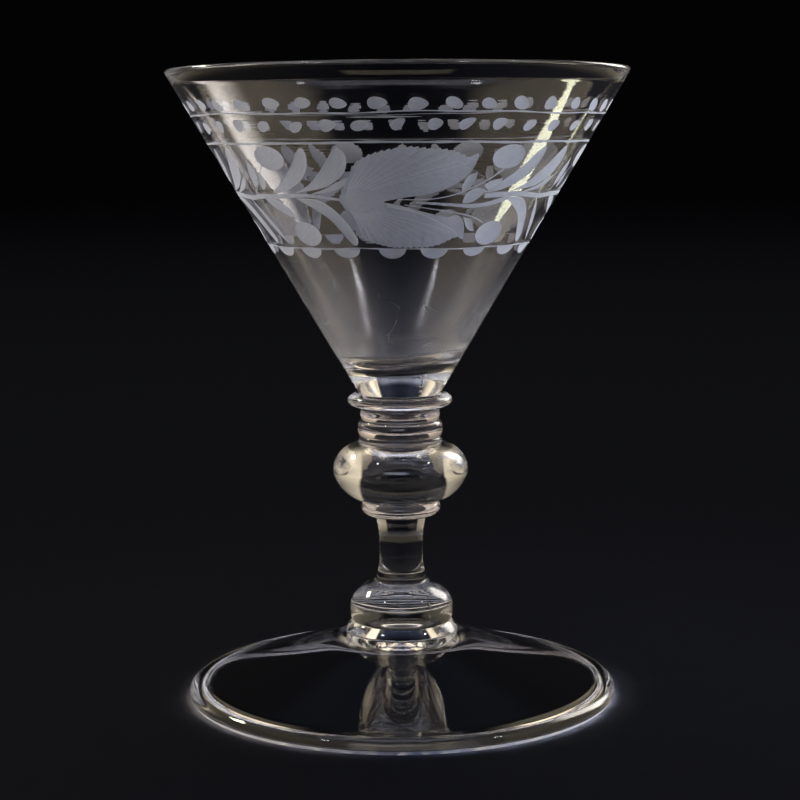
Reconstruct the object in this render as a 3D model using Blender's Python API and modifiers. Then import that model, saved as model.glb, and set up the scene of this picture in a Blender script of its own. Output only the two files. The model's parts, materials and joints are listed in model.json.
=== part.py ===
"""Funnel cup: a hand-made stem glass, built up from eleven gathers of glass on one axis.

Every piece is a turned solid.  From the table upwards they are the conical foot with its folded rim,
the foot collar, the basal knop, the stem, the lower merese, the ball knop, three neck rings, the upper
merese and the funnel bowl.  Metres, +Z up, origin on the table under the axis.
"""

import math

import bpy

# Overall sizes
OVERALL_HEIGHT = 0.1300
RIM_RADIUS = 0.0472
FOOT_RADIUS = 0.0448

# Clearance left at each joint face between two neighbouring pieces
JOINT_GAP = 0.0003

# Heights of the pieces under the bowl, each with the joint gap above it
FOOT_HEIGHT = 0.0132
COLLAR_HEIGHT = 0.0024
BASAL_KNOP_HEIGHT = 0.0090
STEM_HEIGHT = 0.0131
LOWER_MERESE_HEIGHT = 0.0034
BALL_KNOP_HEIGHT = 0.0120
LOWER_RING_HEIGHT = 0.0016
MIDDLE_RING_HEIGHT = 0.0035
UPPER_RING_HEIGHT = 0.0026
UPPER_MERESE_HEIGHT = 0.0029

# Radii of the flat joint faces, from the foot up: both pieces that meet there use the same value
FOOT_JOINT_RADIUS = 0.0114
COLLAR_JOINT_RADIUS = 0.0104
STEM_FOOT_RADIUS = 0.0053
STEM_HEAD_RADIUS = 0.0053
KNOP_FOOT_RADIUS = 0.0074
KNOP_HEAD_RADIUS = 0.0085
LOWER_GROOVE_RADIUS = 0.0082
UPPER_GROOVE_RADIUS = 0.0079
MERESE_FOOT_RADIUS = 0.0080
BOWL_FOOT_RADIUS = 0.0085

# Widest radii, and how high the widest circle lies above the piece's own lower face
COLLAR_RADIUS = 0.0119
COLLAR_WIDEST_HEIGHT = 0.0006
BASAL_KNOP_RADIUS = 0.0108
BASAL_KNOP_WIDEST_HEIGHT = 0.0030
STEM_WAIST_RADIUS = 0.00455
STEM_WAIST_HEIGHT = 0.0064
LOWER_MERESE_RADIUS = 0.0083
LOWER_MERESE_WIDEST_HEIGHT = 0.0018
BALL_KNOP_RADIUS = 0.0141
BALL_KNOP_WIDEST_HEIGHT = 0.0065
LOWER_RING_RADIUS = 0.0087
LOWER_RING_WIDEST_HEIGHT = 0.0008
MIDDLE_RING_RADIUS = 0.0089
MIDDLE_RING_WIDEST_HEIGHT = 0.0016
UPPER_RING_RADIUS = 0.0083
UPPER_RING_WIDEST_HEIGHT = 0.0012
UPPER_MERESE_RADIUS = 0.0109
UPPER_MERESE_WIDEST_HEIGHT = 0.0015

# The shoulder of the basal knop, where its hollow flare turns into the round of the knop
BASAL_SHOULDER_RADIUS = 0.0076
BASAL_SHOULDER_DROP = 0.0015

# Bowl: wall across the lip and at the floor of the hollow, and the solid glass under that floor
BOWL_LIP_WALL = 0.0013
BOWL_FLOOR_WALL = 0.0024
BOWL_SOLID_BASE = 0.0064
BOWL_FLOOR_ROUND = 0.0036

# Foot: thickness of its even sheet, how far out the hollow's round reaches from the collar, and the fold
FOOT_SHEET = 0.0017
HOLLOW_ROUND = 0.0060
FOLD_WIDTH = 0.0034
FOLD_HEIGHT = 0.0034
FOLD_LIP_HEIGHT = 0.0012
REST_WIDTH = 0.0014

# Fullness of a rounded flank: 1 is a straight chamfer, 2 an ellipse
ROUND_FLANK = 2.0
SLACK_FLANK = 1.68
CHAMFER_FLANK = 1.1

# Facets round the axis and along one rounded flank
TURN_STEPS = 48
FLANK_STEPS = 4
LONG_FLANK_STEPS = 7

# The glass: colourless with a faint mauve cast
GLASS_COLOUR = (0.93, 0.90, 0.92, 1.0)
GLASS_ROUGHNESS = 0.02
GLASS_IOR = 1.52
MERGE_DISTANCE = 0.00001


def quarter(start, end, fullness, steps, leaves_level):
    """Points of a quarter superellipse from start to end, without the start point.

    leaves_level tells whether the curve runs level at the start and upright at the end, or the reverse.
    """
    power = 2.0 / fullness
    points = []
    for step in range(1, steps + 1):
        turn = 0.5 * math.pi * step / steps
        rise = max(math.sin(turn), 0.0) ** power
        run = 1.0 - max(math.cos(turn), 0.0) ** power
        across, down = (rise, run) if leaves_level else (run, rise)
        radius = start[0] + (end[0] - start[0]) * across
        height = start[1] + (end[1] - start[1]) * down
        points.append((radius, height))
    return points


def cubic(start, first, second, end, steps):
    """Points of a cubic curve from start to end with two handles, without the start point."""
    points = []
    for step in range(1, steps + 1):
        t = step / steps
        s = 1.0 - t
        weights = (s * s * s, 3.0 * s * s * t, 3.0 * s * t * t, t * t * t)
        corners = (start, first, second, end)
        radius = sum(w * corner[0] for w, corner in zip(weights, corners))
        height = sum(w * corner[1] for w, corner in zip(weights, corners))
        points.append((radius, height))
    return points


def bulge(top, widest, bottom, upper_fullness, lower_fullness, steps):
    """Outline of a swelling ring from its top joint face, over its widest circle, to its lower joint."""
    upper = quarter(top, widest, upper_fullness, steps, True)
    lower = quarter(widest, bottom, lower_fullness, steps, False)
    return [(0.0, top[1]), top] + upper + lower + [(0.0, bottom[1])]


def glass_material(part_name):
    """The clear glass of one piece."""
    material = bpy.data.materials.new(part_name + "_glass")
    material.use_nodes = True
    shader = material.node_tree.nodes["Principled BSDF"]
    shader.inputs["Base Color"].default_value = GLASS_COLOUR
    shader.inputs["Roughness"].default_value = GLASS_ROUGHNESS
    shader.inputs["Metallic"].default_value = 0.0
    shader.inputs["IOR"].default_value = GLASS_IOR
    shader.inputs["Transmission Weight"].default_value = 1.0
    material.diffuse_color = GLASS_COLOUR
    return material


def turned(name, outline, collection):
    """A solid of revolution from an outline of (radius, height) points that runs down its outer side."""
    mesh = bpy.data.meshes.new(name)
    points = [(radius, 0.0, height) for radius, height in outline]
    edges = [(index, index + 1) for index in range(len(points) - 1)]
    mesh.from_pydata(points, edges, [])
    mesh.materials.append(glass_material(name))
    piece = bpy.data.objects.new(name, mesh)
    collection.objects.link(piece)
    screw = piece.modifiers.new("turned", "SCREW")
    screw.axis = "Z"
    screw.angle = 2.0 * math.pi
    screw.steps = TURN_STEPS
    screw.render_steps = TURN_STEPS
    screw.use_merge_vertices = True
    screw.merge_threshold = MERGE_DISTANCE
    screw.use_smooth_shade = True
    return piece


def foot_outline(height):
    """Cone with a hollow underside, and a rim folded under that stands on a narrow flat ring."""
    top = height - JOINT_GAP
    half_fold = 0.5 * FOLD_HEIGHT
    fold_inner = FOOT_RADIUS - FOLD_WIDTH
    rest_outer = FOOT_RADIUS - 0.5 * (FOLD_WIDTH - REST_WIDTH)
    rest_inner = rest_outer - REST_WIDTH
    hollow_edge = (fold_inner, FOLD_HEIGHT - FOOT_SHEET)
    hollow_corner = (FOOT_JOINT_RADIUS, top - FOOT_SHEET)
    rise = (hollow_corner[1] - hollow_edge[1]) / (hollow_edge[0] - hollow_corner[0])
    round_start = (FOOT_JOINT_RADIUS + HOLLOW_ROUND, hollow_corner[1] - rise * HOLLOW_ROUND)
    outline = [(0.0, top), (FOOT_JOINT_RADIUS, top), (fold_inner, FOLD_HEIGHT)]
    outline += quarter(outline[-1], (FOOT_RADIUS, half_fold), ROUND_FLANK, LONG_FLANK_STEPS, True)
    outline += quarter(outline[-1], (rest_outer, 0.0), ROUND_FLANK, FLANK_STEPS, False)
    outline.append((rest_inner, 0.0))
    outline += quarter(outline[-1], (fold_inner, FOLD_LIP_HEIGHT), ROUND_FLANK, FLANK_STEPS, True)
    outline += [hollow_edge, round_start]
    crown = (0.0, hollow_corner[1])
    outline += cubic(round_start, hollow_corner, hollow_corner, crown, LONG_FLANK_STEPS)
    return outline


def collar_outline(height):
    """Ring that widens downwards to its edge on the foot."""
    top = (COLLAR_JOINT_RADIUS, height - JOINT_GAP)
    widest = (COLLAR_RADIUS, COLLAR_WIDEST_HEIGHT)
    return bulge(top, widest, (FOOT_JOINT_RADIUS, 0.0), CHAMFER_FLANK, ROUND_FLANK, FLANK_STEPS)


def basal_knop_outline(height):
    """Knop with a hollow flare from the stem into a round shoulder."""
    top = (STEM_FOOT_RADIUS, height - JOINT_GAP)
    shoulder = (BASAL_SHOULDER_RADIUS, top[1] - BASAL_SHOULDER_DROP)
    widest = (BASAL_KNOP_RADIUS, BASAL_KNOP_WIDEST_HEIGHT)
    bottom = (COLLAR_JOINT_RADIUS, 0.0)
    step_out = 0.5 * (shoulder[0] - top[0])
    step_down = 0.5 * BASAL_SHOULDER_DROP
    outline = [(0.0, top[1]), top]
    hollow_handle = (top[0], top[1] - step_down)
    shoulder_handle = (shoulder[0] - step_out, shoulder[1] + step_down)
    outline += cubic(top, hollow_handle, shoulder_handle, shoulder, FLANK_STEPS)
    round_handle = (shoulder[0] + step_out, shoulder[1] - step_down)
    side_handle = (widest[0], 0.5 * (widest[1] + shoulder[1]))
    outline += cubic(shoulder, round_handle, side_handle, widest, LONG_FLANK_STEPS)
    outline += quarter(widest, bottom, ROUND_FLANK, FLANK_STEPS, False)
    return outline + [(0.0, 0.0)]


def stem_outline(height):
    """Plain waisted stem."""
    top = (STEM_HEAD_RADIUS, height - JOINT_GAP)
    waist = (STEM_WAIST_RADIUS, STEM_WAIST_HEIGHT)
    bottom = (STEM_FOOT_RADIUS, 0.0)
    outline = [(0.0, top[1]), top]
    upper_middle = 0.5 * (top[1] + waist[1])
    lower_middle = 0.5 * (bottom[1] + waist[1])
    outline += cubic(top, (waist[0], upper_middle), (waist[0], upper_middle), waist, FLANK_STEPS)
    outline += cubic(waist, (waist[0], lower_middle), (waist[0], lower_middle), bottom, FLANK_STEPS)
    return outline + [(0.0, 0.0)]


def lower_merese_outline(height):
    """Disc with a round edge between the stem and the ball knop."""
    top = (KNOP_FOOT_RADIUS, height - JOINT_GAP)
    widest = (LOWER_MERESE_RADIUS, LOWER_MERESE_WIDEST_HEIGHT)
    return bulge(top, widest, (STEM_HEAD_RADIUS, 0.0), ROUND_FLANK, SLACK_FLANK, FLANK_STEPS)


def ball_knop_outline(height):
    """Large flattened ball."""
    top = (KNOP_HEAD_RADIUS, height - JOINT_GAP)
    widest = (BALL_KNOP_RADIUS, BALL_KNOP_WIDEST_HEIGHT)
    return bulge(top, widest, (KNOP_FOOT_RADIUS, 0.0), ROUND_FLANK, SLACK_FLANK, LONG_FLANK_STEPS)


def lower_ring_outline(height):
    """Thin ring on top of the ball knop."""
    top = (LOWER_GROOVE_RADIUS, height - JOINT_GAP)
    widest = (LOWER_RING_RADIUS, LOWER_RING_WIDEST_HEIGHT)
    return bulge(top, widest, (KNOP_HEAD_RADIUS, 0.0), ROUND_FLANK, ROUND_FLANK, FLANK_STEPS)


def middle_ring_outline(height):
    """Full ring in the middle of the neck."""
    top = (UPPER_GROOVE_RADIUS, height - JOINT_GAP)
    widest = (MIDDLE_RING_RADIUS, MIDDLE_RING_WIDEST_HEIGHT)
    return bulge(top, widest, (LOWER_GROOVE_RADIUS, 0.0), ROUND_FLANK, ROUND_FLANK, FLANK_STEPS)


def upper_ring_outline(height):
    """Shallow ring under the upper merese."""
    top = (MERESE_FOOT_RADIUS, height - JOINT_GAP)
    widest = (UPPER_RING_RADIUS, UPPER_RING_WIDEST_HEIGHT)
    return bulge(top, widest, (UPPER_GROOVE_RADIUS, 0.0), ROUND_FLANK, ROUND_FLANK, FLANK_STEPS)


def upper_merese_outline(height):
    """Flat disc with a round edge that carries the bowl."""
    top = (BOWL_FOOT_RADIUS, height - JOINT_GAP)
    widest = (UPPER_MERESE_RADIUS, UPPER_MERESE_WIDEST_HEIGHT)
    return bulge(top, widest, (MERESE_FOOT_RADIUS, 0.0), ROUND_FLANK, ROUND_FLANK, FLANK_STEPS)


def bowl_outline(height):
    """Straight-sided funnel on a solid base, with a rounded lip and a rounded floor to its hollow."""
    half_lip = 0.5 * BOWL_LIP_WALL
    lip = height - half_lip
    rim_inner = (RIM_RADIUS - BOWL_LIP_WALL, lip)
    slope = (RIM_RADIUS - BOWL_FOOT_RADIUS) / lip
    floor_edge = BOWL_SOLID_BASE + BOWL_FLOOR_ROUND
    floor_radius = BOWL_FOOT_RADIUS + slope * floor_edge - BOWL_FLOOR_WALL
    outline = [(0.0, BOWL_SOLID_BASE)]
    outline += quarter(outline[0], (floor_radius, floor_edge), ROUND_FLANK, LONG_FLANK_STEPS, True)
    outline.append(rim_inner)
    outline += quarter(rim_inner, (RIM_RADIUS - half_lip, height), ROUND_FLANK, FLANK_STEPS, False)
    outline += quarter(outline[-1], (RIM_RADIUS, lip), ROUND_FLANK, FLANK_STEPS, True)
    outline += [(BOWL_FOOT_RADIUS, 0.0), (0.0, 0.0)]
    return outline


# The pieces in the order in which they stand on each other
STACK = (
    ("foot", FOOT_HEIGHT, foot_outline),
    ("foot_collar", COLLAR_HEIGHT, collar_outline),
    ("basal_knop", BASAL_KNOP_HEIGHT, basal_knop_outline),
    ("stem", STEM_HEIGHT, stem_outline),
    ("lower_merese", LOWER_MERESE_HEIGHT, lower_merese_outline),
    ("ball_knop", BALL_KNOP_HEIGHT, ball_knop_outline),
    ("lower_ring", LOWER_RING_HEIGHT, lower_ring_outline),
    ("middle_ring", MIDDLE_RING_HEIGHT, middle_ring_outline),
    ("upper_ring", UPPER_RING_HEIGHT, upper_ring_outline),
    ("upper_merese", UPPER_MERESE_HEIGHT, upper_merese_outline),
)


def clear_scene():
    """Remove every object, so that the model starts from nothing."""
    for item in list(bpy.data.objects):
        bpy.data.objects.remove(item, do_unlink=True)


def stand_on(piece, level, axis):
    """Set a piece on the axis with its lower face at a height above the table."""
    piece.parent = axis
    piece.location = (0.0, 0.0, level)


def main():
    """Build every piece and stack them from the table up."""
    clear_scene()
    collection = bpy.data.collections.new("funnel_cup")
    bpy.context.scene.collection.children.link(collection)
    axis = bpy.data.objects.new("glass_axis", None)
    collection.objects.link(axis)
    level = 0.0
    for name, height, outline in STACK:
        stand_on(turned(name, outline(height), collection), level, axis)
        level += height
    stand_on(turned("bowl", bowl_outline(OVERALL_HEIGHT - level), collection), level, axis)


main()
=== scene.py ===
"""Looks of the funnel cup: hand-made clear glass with a wheel-engraved frieze, in soft studio light."""

import json
import logging
import math
import random
from dataclasses import dataclass
from enum import Enum, IntEnum
from functools import cache
from typing import Sequence

import bmesh
import bpy
from bmesh.types import BMesh, BMVert
from bpy.types import AreaLight, Material, Mesh, MeshPolygon, Node, NodeSocket, NodeTree, Object
from mathutils import Matrix, Vector
from mathutils.geometry import delaunay_2d_cdt
from mathutils.kdtree import KDTree

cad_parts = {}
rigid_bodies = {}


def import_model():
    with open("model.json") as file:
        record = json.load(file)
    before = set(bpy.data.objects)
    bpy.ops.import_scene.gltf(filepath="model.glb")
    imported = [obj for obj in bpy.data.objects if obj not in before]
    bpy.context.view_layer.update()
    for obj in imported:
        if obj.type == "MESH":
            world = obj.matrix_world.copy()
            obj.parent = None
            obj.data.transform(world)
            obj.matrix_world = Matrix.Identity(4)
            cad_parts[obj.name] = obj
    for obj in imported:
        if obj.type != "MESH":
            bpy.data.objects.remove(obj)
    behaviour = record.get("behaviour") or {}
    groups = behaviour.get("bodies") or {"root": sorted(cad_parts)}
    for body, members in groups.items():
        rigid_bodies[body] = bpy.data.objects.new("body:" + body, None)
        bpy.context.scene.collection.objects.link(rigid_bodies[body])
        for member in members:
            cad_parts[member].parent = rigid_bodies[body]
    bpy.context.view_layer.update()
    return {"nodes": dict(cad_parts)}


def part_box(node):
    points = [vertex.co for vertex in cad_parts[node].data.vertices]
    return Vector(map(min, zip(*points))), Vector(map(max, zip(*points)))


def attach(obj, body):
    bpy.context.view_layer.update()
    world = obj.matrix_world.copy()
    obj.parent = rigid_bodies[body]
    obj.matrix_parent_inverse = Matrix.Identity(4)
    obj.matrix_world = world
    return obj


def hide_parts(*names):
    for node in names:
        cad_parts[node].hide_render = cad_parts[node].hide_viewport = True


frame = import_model()

log = logging.getLogger("funnel_cup")

Point = tuple[float, float]

MM = 0.001
FULL_TURN = 2 * math.pi
IMAGE_SIDE = 800
SENSOR_WIDTH = 36.0
ENGRAVING_MAP = "wheel_lay"
GLASS_IOR = 1.52
# Bounces that a ray may take, enough for the stack of fused pieces.
BOUNCES = 32
# Points closer than this become one when a piece is turned, and heights closer than this count as one.
WELD = 0.001 * MM
SAME_HEIGHT = 0.002 * MM
SMOOTH_ANGLE = math.radians(40)
# Fullness of a flank that is a quarter of an ellipse.
ELLIPSE = 2.0
# Air seeds are drawn out upwards, as the glass was.
SEED_STRETCH = 1.7
# Height that the soft boxes face.
LIT_HEIGHT = 85 * MM


class Slot(Enum):
    """The record's material slots."""

    BOWL = "bowl_glass"
    STEM = "stem_glass"
    FOOT = "foot_glass"


class Skin(IntEnum):
    """The materials of every glass piece, in order; the ground one is engraving, or wear on the foot."""

    CLEAR = 0
    FUSED = 1
    GROUND = 2
    VEIN = 3
    SEED = 4


def linear(colour: str) -> tuple[float, float, float, float]:
    """Turns an sRGB hex colour into linear light.

    Args:
        colour: Six hex digits after a hash sign.

    Returns:
        Red, green, blue and a full alpha.
    """
    channels = [int(colour[i : i + 2], 16) / 255 for i in (1, 3, 5)]
    low = [c / 12.92 if c <= 0.04045 else ((c + 0.055) / 1.055) ** 2.4 for c in channels]
    return (*low, 1.0)


def add_node(tree: NodeTree, kind: str, settings: dict[str | int, object] | None = None) -> Node:
    """Adds one node with its settings and links.

    Args:
        tree: The node tree that takes the node.
        kind: The node's type name after its common start.
        settings: Values by the name of a property, or by the name or number of an input. An input takes a
            value, an output socket, or a node for that node's first output.

    Returns:
        The new node.
    """
    node = tree.nodes.new("ShaderNode" + kind)
    for name, value in (settings or {}).items():
        if isinstance(value, Node):
            tree.links.new(value.outputs[0], node.inputs[name])
        elif isinstance(value, NodeSocket):
            tree.links.new(value, node.inputs[name])
        elif isinstance(name, int) or name in node.inputs:
            node.inputs[name].default_value = value
        else:
            setattr(node, name, value)
    return node


@dataclass(frozen=True)
class Finish:
    """What a surface looks like."""

    def make(self, name: str) -> Material:
        """Builds the material.

        Args:
            name: The material's name.

        Returns:
            The material.
        """
        material = bpy.data.materials.new(name)
        material.use_nodes = True
        tree = material.node_tree
        tree.nodes.clear()
        add_node(tree, "OutputMaterial", {"Surface": self.surface(tree)})
        return material

    def surface(self, tree: NodeTree) -> Node:
        """Adds the surface's nodes and gives the last of them."""
        raise NotImplementedError


@dataclass(frozen=True)
class FirePolishedGlass(Finish):
    """Colourless glass smoothed by the furnace: it shows its tint only at thick places and edges."""

    tint: str = "#F3F0F1"
    lamp_tint: str = "#F6F6F6"
    film: float = 0.006
    wave_mm: float = 22.0
    wave_height: float = 0.010 * MM
    mark_mm: float = 0.8
    mark_stretch: float = 120.0
    mark_height: float = 0.003 * MM

    def surface(self, tree: NodeTree) -> Node:
        """Draws slow waves of the blown wall and fine tool marks round it, and lets lamps shine through.

        Args:
            tree: The material's node tree.

        Returns:
            The last node.
        """
        place = add_node(tree, "TexCoord").outputs["Object"]
        wave = add_node(tree, "TexNoise", {"Vector": place, "Scale": 1 / (self.wave_mm * MM), "Detail": 0.0})
        wavy = add_node(tree, "Bump", {"Strength": 1.0, "Distance": self.wave_height, "Height": wave})
        up = 1 / (self.mark_mm * MM)
        around = up / self.mark_stretch
        spread = add_node(tree, "Mapping", {"Vector": place, "Scale": (around, around, up)})
        mark = add_node(tree, "TexNoise", {"Vector": spread, "Scale": 1.0, "Detail": 1.0})
        depth = {"Strength": 1.0, "Distance": self.mark_height}
        marked = add_node(tree, "Bump", {**depth, "Height": mark, "Normal": wavy})
        glass = add_node(
            tree,
            "BsdfPrincipled",
            {
                "Base Color": linear(self.tint),
                "IOR": GLASS_IOR,
                "Roughness": 0.0,
                "Transmission Weight": 1 - self.film,
                "Normal": marked,
            },
        )
        self.wear(tree, place, glass)
        shadow = add_node(tree, "LightPath").outputs["Is Shadow Ray"]
        open_to_lamps = add_node(tree, "BsdfTransparent", {"Color": linear(self.lamp_tint)})
        return add_node(tree, "MixShader", {"Fac": shadow, 1: glass, 2: open_to_lamps})

    def wear(self, tree: NodeTree, place: NodeSocket, glass: Node) -> None:
        """Leaves the glass as the furnace made it."""


@dataclass(frozen=True)
class HandledGlass(FirePolishedGlass):
    """Rings that hands have dulled: a warm mauve cast under a thin grey film."""

    tint: str = "#F0E5E6"
    film: float = 0.03


@dataclass(frozen=True)
class WornBlownGlass(FirePolishedGlass):
    """Blown glass after long use: clear at the rim, and dulled low down by a film, scratches and specks."""

    mark_height: float = 0.007 * MM
    film: float = 0.009
    film_and_sheen_peak: float = 0.062
    film_and_sheen_from: float = 100.0 * MM
    film_and_sheen_to: float = 73.0 * MM
    film_and_sheen_end: float = 70.0 * MM
    dull_roughness: float = 0.16
    scratch_and_sheen_mm: float = 8.0
    scratch_and_sheen_stretch: float = 1.0
    scratch_and_sheen_width: float = 0.011
    scratch_and_sheen_strength: float = 0.50
    patch_share: float = 2.6
    patch_edge: Point = (0.52, 0.62)
    speck_mm: float = 3.6
    speck_size: float = 0.030

    def wear(self, tree: NodeTree, place: NodeSocket, glass: Node) -> None:
        """Adds the film, scratches and specks, the last two wider than real ones so that they show.
        On the ball knop the film and scratches are painted highlights.

        Args:
            tree: The material's node tree.
            place: The surface's own coordinates.
            glass: The glass shader.
        """
        height = add_node(tree, "SeparateXYZ", {"Vector": place}).outputs["Z"]
        fade = {"interpolation_type": "SMOOTHSTEP", "From Min": self.film_and_sheen_from, "From Max": self.film_and_sheen_to}
        below = add_node(tree, "MapRange", {**fade, "Value": height})
        start = {"From Min": self.film_and_sheen_end, "From Max": self.film_and_sheen_to}
        above = add_node(tree, "MapRange", {**start, "Value": height})
        low = add_node(tree, "Math", {"operation": "MULTIPLY", 0: below, 1: above})
        dull = add_node(tree, "Math", {"operation": "MULTIPLY", 0: low, 1: self.dull_roughness})
        lines, specks = self.lines(tree, place), self.specks(tree, place)
        flaws_and_sheen = add_node(tree, "Math", {"operation": "MAXIMUM", 0: lines, 1: specks})
        strength = {1: self.scratch_and_sheen_strength, 2: self.film_and_sheen_peak}
        haze_and_sheen = add_node(tree, "Math", {"operation": "MULTIPLY_ADD", 0: flaws_and_sheen, **strength})
        shown = add_node(tree, "Math", {"operation": "MULTIPLY", 0: haze_and_sheen, 1: low})
        clear = add_node(tree, "Math", {"operation": "SUBTRACT", 0: 1 - self.film, 1: shown})
        tree.links.new(dull.outputs[0], glass.inputs["Roughness"])
        tree.links.new(clear.outputs[0], glass.inputs["Transmission Weight"])

    def lines(self, tree: NodeTree, place: NodeSocket) -> Node:
        """Draws fine curved scratches in patches; on the ball knop they are painted highlights.

        Args:
            tree: The material's node tree.
            place: The surface's own coordinates.

        Returns:
            The node that tells how much of a scratch is there.
        """
        scale = 1 / (self.scratch_and_sheen_mm * MM)
        spread = add_node(tree, "Mapping", {"Vector": place, "Scale": (1.0, 1.0, self.scratch_and_sheen_stretch)})
        course = add_node(tree, "TexNoise", {"Vector": spread, "Scale": scale, "Detail": 0.0})
        off = add_node(tree, "Math", {"operation": "SUBTRACT", 0: course, 1: 0.5})
        near = add_node(tree, "Math", {"operation": "ABSOLUTE", 0: off})
        line = add_node(tree, "MapRange", {"Value": near, "From Min": self.scratch_and_sheen_width, "From Max": 0.0})
        patch_scale = self.patch_share * scale
        patch = add_node(tree, "TexNoise", {"Vector": place, "Scale": patch_scale, "Detail": 1.0})
        start, end = self.patch_edge
        part = add_node(tree, "MapRange", {"Value": patch, "From Min": start, "From Max": end})
        return add_node(tree, "Math", {"operation": "MULTIPLY", 0: line, 1: part})

    def specks(self, tree: NodeTree, place: NodeSocket) -> Node:
        """Draws small white specks far apart.

        Args:
            tree: The material's node tree.
            place: The surface's own coordinates.

        Returns:
            The node that tells how much of a speck is there.
        """
        cells = add_node(tree, "TexVoronoi", {"Vector": place, "Scale": 1 / (self.speck_mm * MM)})
        size = {"From Min": self.speck_size, "From Max": 0.5 * self.speck_size}
        return add_node(tree, "MapRange", {"Value": cells, **size})


@dataclass(frozen=True)
class PaintedHighlightKnopGlass(WornBlownGlass):
    """Painted highlights on the ball: a pale film and pale threads round its upper half stand in for
    reflections.
    """

    # The film and threads set below are painted highlights round the upper half of the ball.
    film: float = 0.006
    mark_height: float = 0.003 * MM
    film_and_sheen_peak: float = 0.14
    film_and_sheen_from: float = 53.6 * MM
    film_and_sheen_to: float = 51.2 * MM
    film_and_sheen_end: float = 47.6 * MM
    dull_roughness: float = 0.02
    scratch_and_sheen_mm: float = 6.0
    scratch_and_sheen_stretch: float = 5.0
    scratch_and_sheen_width: float = 0.05
    scratch_and_sheen_strength: float = 0.8


@dataclass(frozen=True)
class TableWornGlass(FirePolishedGlass):
    """Glass rubbed by the table: a white matt ring in patches, which shows through the rim above it."""

    patch_mm: float = 2.4
    patch_edge: Point = (0.45, 0.7)
    worn_roughness: float = 0.6
    clear_most: float = 0.7

    def wear(self, tree: NodeTree, place: NodeSocket, glass: Node) -> None:
        """Rubs the glass matt in patches.

        Args:
            tree: The material's node tree.
            place: The surface's own coordinates.
            glass: The glass shader.
        """
        glass.inputs["Roughness"].default_value = self.worn_roughness
        scale = 1 / (self.patch_mm * MM)
        patch = add_node(tree, "TexNoise", {"Vector": place, "Scale": scale, "Detail": 3.0})
        edge = {"From Min": self.patch_edge[0], "From Max": self.patch_edge[1]}
        clear = add_node(tree, "MapRange", {"Value": patch, **edge, "To Max": self.clear_most})
        tree.links.new(clear.outputs[0], glass.inputs["Transmission Weight"])


@dataclass(frozen=True)
class FusedJoint(Finish):
    """Glass melted to glass: nothing is left of the joint for the eye."""

    def surface(self, tree: NodeTree) -> Node:
        """Lets light straight through."""
        return add_node(tree, "BsdfTransparent")


@dataclass(frozen=True)
class AirSeed(Finish):
    """A bubble caught in the glass: a small bright bead."""

    ior: float = 1.33
    clear: float = 0.8

    def surface(self, tree: NodeTree) -> Node:
        """Makes a smooth bead, a little milky."""
        bead = {"IOR": self.ior, "Roughness": 0.0, "Transmission Weight": self.clear}
        return add_node(tree, "BsdfPrincipled", bead)


@dataclass(frozen=True)
class WheelGroundGlass(Finish):
    """Glass ground by a copper wheel: pale and matt, with the wheel's short strokes and a fine grain."""

    pale: str = "#DCDEE6"
    deep: str = "#B6B9C4"
    shade_edge: Point = (0.36, 0.64)
    transmission: float = 0.34
    roughness: float = 0.80
    stroke_mm: float = 0.22
    stroke_stretch: float = 9.0
    grain_mm: float = 0.16
    grain_share: float = 0.6
    grain_height: float = 0.010 * MM

    def surface(self, tree: NodeTree) -> Node:
        """Draws the strokes and the grain, coarser than real ones so that they show.

        Args:
            tree: The material's node tree.

        Returns:
            The last node.
        """
        lay = add_node(tree, "UVMap", {"uv_map": ENGRAVING_MAP})
        across = 1 / self.stroke_mm
        along = across / self.stroke_stretch
        stretch = add_node(tree, "Mapping", {"Vector": lay, "Scale": (along, across, 1.0)})
        stroke = add_node(tree, "TexNoise", {"Vector": stretch, "Scale": 1.0, "Detail": 2.0})
        grain = add_node(tree, "TexNoise", {"Vector": lay, "Scale": 1 / self.grain_mm, "Detail": 1.0})
        part = add_node(tree, "Math", {"operation": "MULTIPLY", 0: stroke, 1: 1 - self.grain_share})
        both = add_node(tree, "Math", {"operation": "MULTIPLY_ADD", 0: grain, 1: self.grain_share, 2: part})
        shade = add_node(tree, "ValToRGB", {"Fac": both})
        for stop, position, colour in zip(shade.color_ramp.elements, self.shade_edge, (self.deep, self.pale)):
            stop.position, stop.color = position, linear(colour)
        bump = add_node(tree, "Bump", {"Strength": 1.0, "Distance": self.grain_height, "Height": both})
        matt = {"IOR": GLASS_IOR, "Roughness": self.roughness, "Transmission Weight": self.transmission}
        return add_node(tree, "BsdfPrincipled", {**matt, "Base Color": shade, "Normal": bump})


@dataclass(frozen=True)
class FineWheelCutGlass(WheelGroundGlass):
    """Glass cut by a fine wheel: the veins and edges stand out whiter than the ground leaf."""

    pale: str = "#FAF9FB"
    deep: str = "#E6E5EA"


@dataclass(frozen=True)
class FloorPaint(Finish):
    """Pale matt paint, with the faint mottle of the roller."""

    pale: str = "#CED0D8"
    shaded: str = "#C6C8D0"
    mottle_mm: float = 6.0
    roughness: float = 0.8

    def surface(self, tree: NodeTree) -> Node:
        """Mottles the paint and leaves it without a gloss.

        Args:
            tree: The material's node tree.

        Returns:
            The last node.
        """
        place = add_node(tree, "TexCoord").outputs["Object"]
        scale = 1 / (self.mottle_mm * MM)
        mottle = add_node(tree, "TexNoise", {"Vector": place, "Scale": scale, "Detail": 2.0})
        shade = add_node(tree, "ValToRGB", {"Fac": mottle})
        for stop, colour in zip(shade.color_ramp.elements, (self.shaded, self.pale)):
            stop.color = linear(colour)
        matt = {"Roughness": self.roughness, "Specular IOR Level": 0.0}
        return add_node(tree, "BsdfPrincipled", {**matt, "Base Color": shade})


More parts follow.
